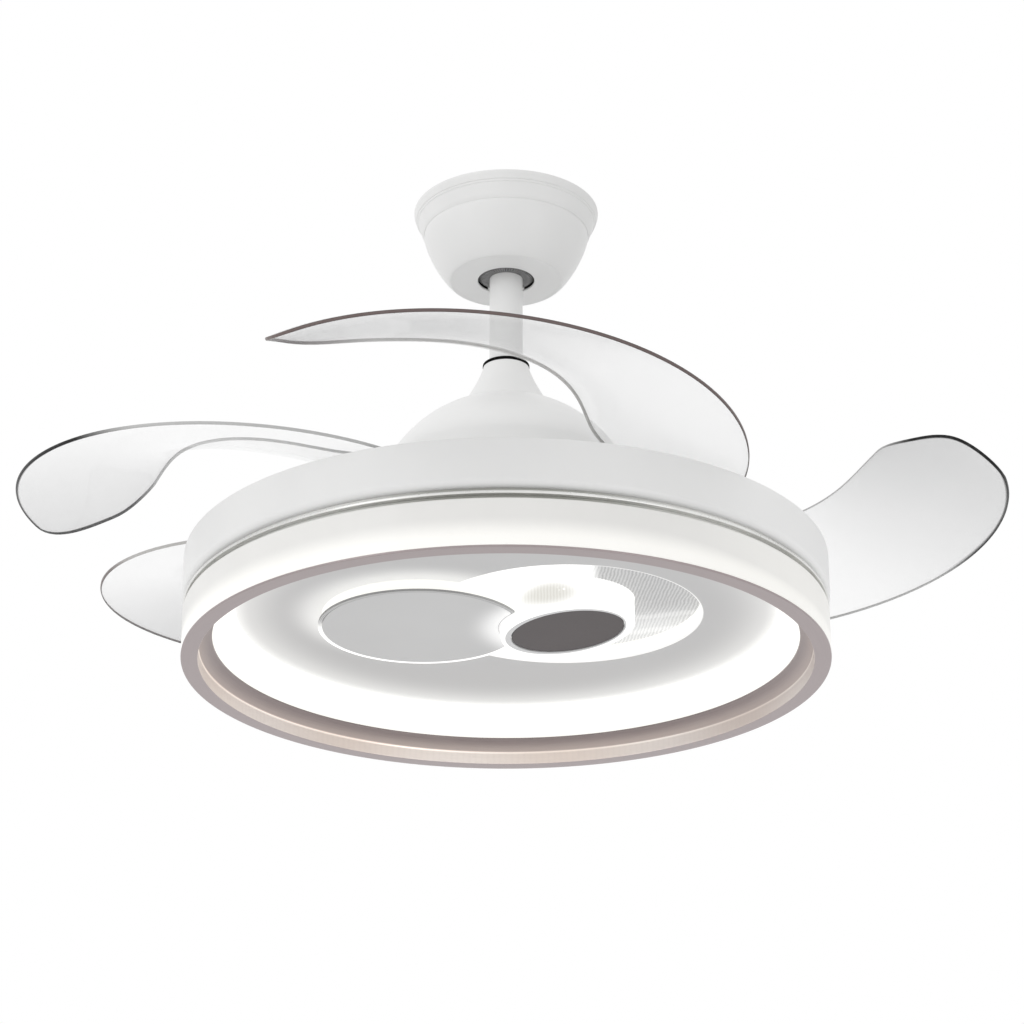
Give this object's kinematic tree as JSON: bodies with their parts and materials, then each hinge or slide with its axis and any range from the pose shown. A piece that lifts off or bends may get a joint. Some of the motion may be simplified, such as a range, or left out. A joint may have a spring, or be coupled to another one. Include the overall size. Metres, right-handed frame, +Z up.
{
  "type": "retractable blade ceiling fan light",
  "caption": "Ceiling fan on a short rod: clear curved blades swing out from a turning tray above a wide round light body and fold back over it.",
  "frame": {"origin": "on the ceiling plane, where the axis of the rod meets it", "axes": "+Z up along the rod, +X to the right of the pictured view, +Y away from the viewer"},
  "size_m": [0.7688, 0.7384, 0.398],
  "materials": {
    "steel": "satin zinc-plated steel",
    "white_paint": "smooth satin white powder coat",
    "white_plastic": "smooth white moulding",
    "frosted_acrylic": "milky translucent acrylic, lit from inside",
    "clear_acrylic": "clear polished acrylic with a faint grey edge tint",
    "champagne": "satin champagne-brown metallic",
    "panel_grey": "satin light grey diffuser sheet",
    "disc_grey": "matt light grey cover",
    "dark_cap": "dark brown semi-gloss cap",
    "black_rubber": "matt black rubber",
    "ball_grey": "grey moulded ball with fine radial texture",
    "groove_metal": "bright ring in the shadow gap",
    "copper": "enamelled copper windings",
    "magnet": "dark ferrite magnet ring",
    "arm_metal": "cast aluminium blade arm"
  },
  "bodies": {
    "ceiling_mount": {"ceiling_bracket": "steel", "canopy": "white_paint", "canopy_ring": "white_plastic", "canopy_screws": "steel", "receiver_box": "white_plastic"},
    "hanging_frame": {"hanger_ball": "ball_grey", "ball_pin": "steel", "downrod": "white_paint", "coupling_gasket": "black_rubber", "coupling_cover": "white_paint", "clevis_pin": "steel", "yoke": "steel", "yoke_screw": "steel", "motor_shaft": "steel", "stator_core": "steel", "stator_coils": "copper", "lamp_carrier": "steel", "shaft_nut": "steel", "carrier_screws": "steel", "lamp_pan": "white_paint", "bright_ring": "groove_metal", "side_diffuser": "frosted_acrylic", "glow_ring": "frosted_acrylic", "trim_ring": "champagne", "centre_panel": "panel_grey", "recess_cup": "frosted_acrylic", "ripple_lens": "clear_acrylic", "light_tube": "frosted_acrylic", "tube_ring": "panel_grey", "tube_cap": "dark_cap", "disc_plate": "disc_grey", "disc_diffuser": "frosted_acrylic", "led_plate": "white_paint", "led_boards": "white_plastic", "led_driver": "white_plastic", "plate_screws": "steel", "lead_bundle": "black_rubber"},
    "rotor": {"rotor_case_upper": "arm_metal", "rotor_case_lower": "arm_metal", "magnet_ring": "magnet", "motor_bearings": "steel", "motor_dome": "white_paint", "rotor_plate": "steel", "blade_tray": "steel", "hinge_posts": "steel", "hub_washers": "black_rubber", "rubber_buffers": "black_rubber", "return_springs": "steel", "case_screws": "steel"},
    "blade_1": {"blade_1_panel": "clear_acrylic", "blade_1_arm": "arm_metal"},
    "blade_2": {"blade_2_panel": "clear_acrylic", "blade_2_arm": "arm_metal"},
    "blade_3": {"blade_3_panel": "clear_acrylic", "blade_3_arm": "arm_metal"},
    "blade_4": {"blade_4_panel": "clear_acrylic", "blade_4_arm": "arm_metal"},
    "blade_5": {"blade_5_panel": "clear_acrylic", "blade_5_arm": "arm_metal"}
  },
  "joints": [
    {"name": "ball_tilt", "type": "hinge", "parent": "ceiling_mount", "child": "hanging_frame", "pos_m": [0, 0, -0.0442], "axis": [1, 0, 0], "range_deg": [-12, 12]},
    {"name": "rotor_spin", "type": "hinge", "parent": "hanging_frame", "child": "rotor", "pos_m": [0, 0, -0.241], "axis": [0, 0, 1], "continuous": true},
    {"name": "blade_1_fold", "type": "hinge", "parent": "rotor", "child": "blade_1", "pos_m": [0.08954, -0.0068, -0.294], "axis": [0, 0, -1], "range_deg": [-6, 161.1]},
    {"name": "blade_2_fold", "type": "hinge", "parent": "rotor", "child": "blade_2", "pos_m": [0.02121, -0.08726, -0.294], "axis": [0, 0, -1], "range_deg": [-4.7, 125]},
    {"name": "blade_3_fold", "type": "hinge", "parent": "rotor", "child": "blade_3", "pos_m": [-0.07644, -0.04713, -0.294], "axis": [0, 0, -1], "range_deg": [-4.9, 129.3]},
    {"name": "blade_4_fold", "type": "hinge", "parent": "rotor", "child": "blade_4", "pos_m": [-0.06845, 0.05813, -0.294], "axis": [0, 0, -1], "range_deg": [-5.9, 156.2]},
    {"name": "blade_5_fold", "type": "hinge", "parent": "rotor", "child": "blade_5", "pos_m": [0.03413, 0.08306, -0.294], "axis": [0, 0, -1], "range_deg": [-5.5, 146.8]}
  ],
  "couplings": [
    {"joint": "blade_2_fold", "follows": "blade_1_fold", "ratio": 0.7755},
    {"joint": "blade_3_fold", "follows": "blade_1_fold", "ratio": 0.8021},
    {"joint": "blade_4_fold", "follows": "blade_1_fold", "ratio": 0.9691},
    {"joint": "blade_5_fold", "follows": "blade_1_fold", "ratio": 0.9109}
  ]
}
